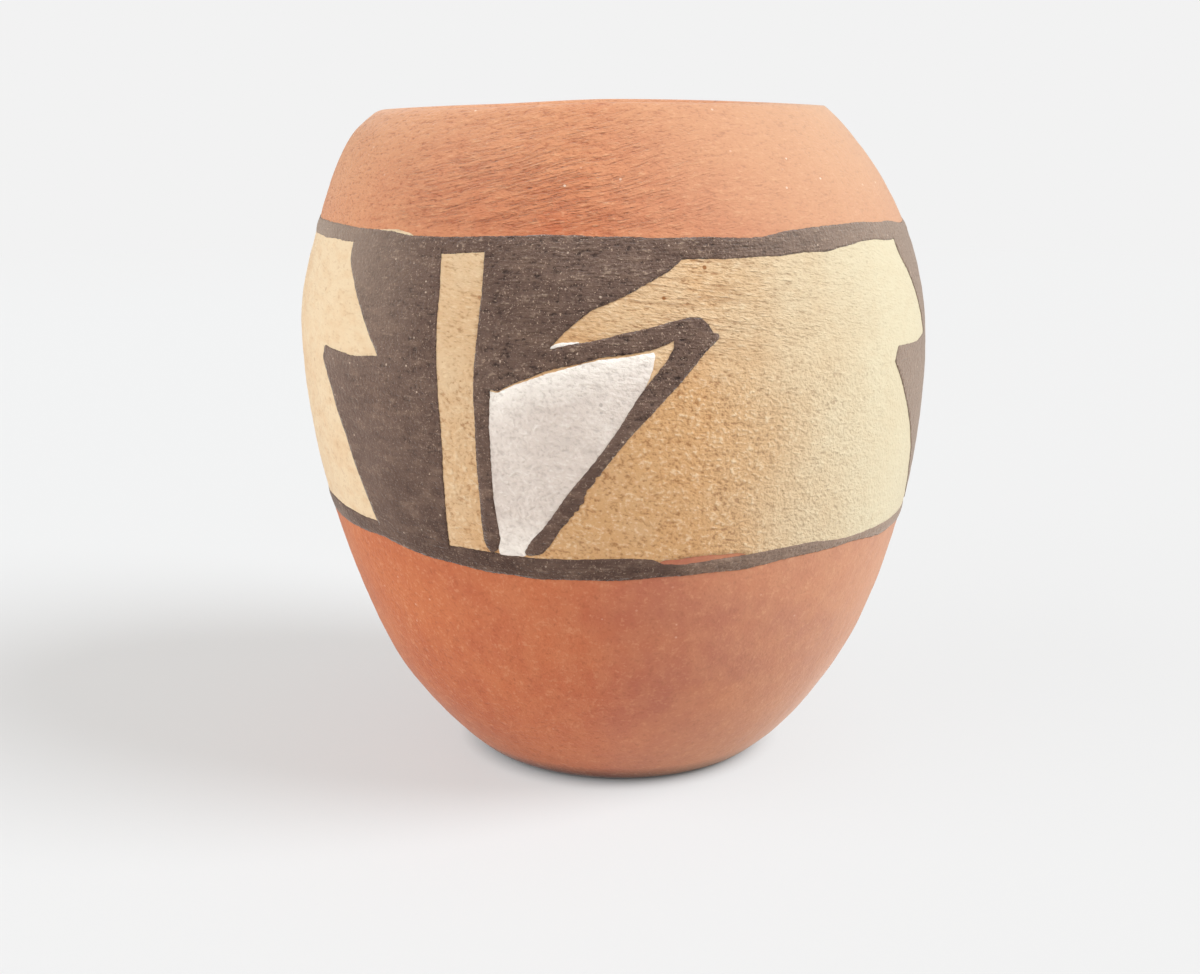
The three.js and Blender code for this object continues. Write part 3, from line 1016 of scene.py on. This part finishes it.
# Floor: a plain pale surface under the pot, wide enough to fill the view. To the eye it fades into the white
# backdrop, its shadow is soft, and near the pot some backdrop white paints that shadow lighter, most on the
# right, so it is darkest under the foot. To the light it is a plain pale surface.
floor_size = 4
fade_start = 0.15
fade_end = 0.6
contact_start = foot_radius - 1 * mm
contact_end = foot_radius + 2.5 * mm
shadow_softening = 0.5
lit_side_softening = 0.85
floor_by_light, floor_by_eye = linear(216, 211, 206), linear(219, 225, 230)
backdrop_white = linear(242, 242, 242)


def floor_material():
    """Matt pale board that turns into the backdrop's white, all of it far off and in part near the pot."""
    material, tree = new_material("pale_floor")
    shader = tree.nodes["Principled BSDF"]
    seen = add_node(tree, "ShaderNodeLightPath").outputs["Is Camera Ray"]
    tree.links.new(blend_colour(tree, seen, floor_by_light, floor_by_eye), shader.inputs["Base Color"])
    shader.inputs["Roughness"].default_value = 0.9
    shader.inputs["Specular IOR Level"].default_value = 0.1
    away = add_node(tree, "ShaderNodeVectorMath", operation="LENGTH")
    tree.links.new(add_node(tree, "ShaderNodeTexCoord").outputs["Object"], away.inputs[0])
    clear_of_foot = ramp(tree, away.outputs["Value"], contact_start, contact_end)
    across = add_node(tree, "ShaderNodeSeparateXYZ")
    tree.links.new(add_node(tree, "ShaderNodeTexCoord").outputs["Object"], across.inputs[0])
    # Backdrop white mixed in near the pot paints its shadow lighter, most on the right.
    left, right = -foot_radius, foot_radius * 2
    softening = ramp(tree, across.outputs["X"], left, right, shadow_softening, lit_side_softening)
    clear_of_foot = combined(tree, clear_of_foot, softening)
    far = ramp(tree, away.outputs["Value"], fade_start, fade_end)
    far = combined(tree, combined(tree, far, clear_of_foot, "MAXIMUM"), seen)
    backdrop = add_node(tree, "ShaderNodeEmission", {"Color": backdrop_white})
    mixed = add_node(tree, "ShaderNodeMixShader")
    tree.links.new(far, mixed.inputs["Fac"])
    tree.links.new(shader.outputs[0], mixed.inputs[1])
    tree.links.new(backdrop.outputs[0], mixed.inputs[2])
    tree.links.new(mixed.outputs[0], tree.nodes["Material Output"].inputs["Surface"])
    return material


floor_mesh = bmesh.new()
bmesh.ops.create_grid(floor_mesh, x_segments=1, y_segments=1, size=floor_size / 2)
mesh = bpy.data.meshes.new("floor")
floor_mesh.to_mesh(mesh)
floor_mesh.free()
mesh.materials.append(floor_material())
floor = bpy.data.objects.new("floor", mesh)
bpy.context.scene.collection.objects.link(floor)


# Light: a soft high key from the right and front, a weaker one low on the left, and an even pale surround.
key_height, key_side = math.radians(41), math.radians(75)
key_softness, key_strength = math.radians(30), 2.8
fill_height, fill_side = math.radians(26), math.radians(-65)
fill_softness, fill_strength = math.radians(60), 1.9
far_light, near_light = linear(168, 156, 144), linear(112, 104, 96)
flank_light = linear(212, 200, 186)


def add_sun(name, height, side, softness, strength):
    """A soft sun lamp that shines on the pot from so far up and so far round from the front."""
    data = bpy.data.lights.new(name, "SUN")
    data.angle = softness
    data.energy = strength
    sun = bpy.data.objects.new(name, data)
    sun.rotation_euler = (math.pi / 2 - height, 0, side)
    bpy.context.scene.collection.objects.link(sun)


add_sun("key", key_height, key_side, key_softness, key_strength)
add_sun("left fill", fill_height, fill_side, fill_softness, fill_strength)

world = bpy.data.worlds.new("surround")
world.use_nodes = True
bpy.context.scene.world = world
sky = world.node_tree
light_path = add_node(sky, "ShaderNodeLightPath")
by_eye, by_gloss = light_path.outputs["Is Camera Ray"], light_path.outputs["Is Glossy Ray"]
seen = combined(sky, by_eye, by_gloss, "MAXIMUM")
toward = add_node(sky, "ShaderNodeSeparateXYZ")
sky.links.new(add_node(sky, "ShaderNodeTexCoord").outputs["Generated"], toward.inputs[0])
behind_camera = ramp(sky, toward.outputs["Y"], 0.1, -0.9)
to_side = ramp(sky, combined(sky, toward.outputs["X"], 0, "ABSOLUTE"), 0.3, 1)
light = blend_colour(sky, behind_camera, far_light, near_light)
light = blend_colour(sky, to_side, light, flank_light)
surround = blend_colour(sky, seen, light, backdrop_white)
sky.links.new(surround, sky.nodes["Background"].inputs["Color"])
sky.nodes["Background"].inputs["Strength"].default_value = 1


# Camera: at about the height of the rim, close in front, tipped down a little, as in the photograph.
camera_distance = 177.1 * mm
camera_height = 71.25 * mm
camera_side = -2.18 * mm
camera_tip = math.radians(13.66)
photo_width = 1200
focal_pixels = 1642
sensor_width = 36

camera_data = bpy.data.cameras.new("camera")
camera_data.sensor_width = sensor_width
camera_data.lens = sensor_width * focal_pixels / photo_width
camera_data.clip_start = 0.01
camera = bpy.data.objects.new("camera", camera_data)
camera.location = (camera_side, -camera_distance, camera_height)
camera.rotation_euler = (math.pi / 2 - camera_tip, 0, 0)
bpy.context.scene.collection.objects.link(camera)
bpy.context.scene.camera = camera
bpy.context.scene.view_settings.view_transform = "Standard"
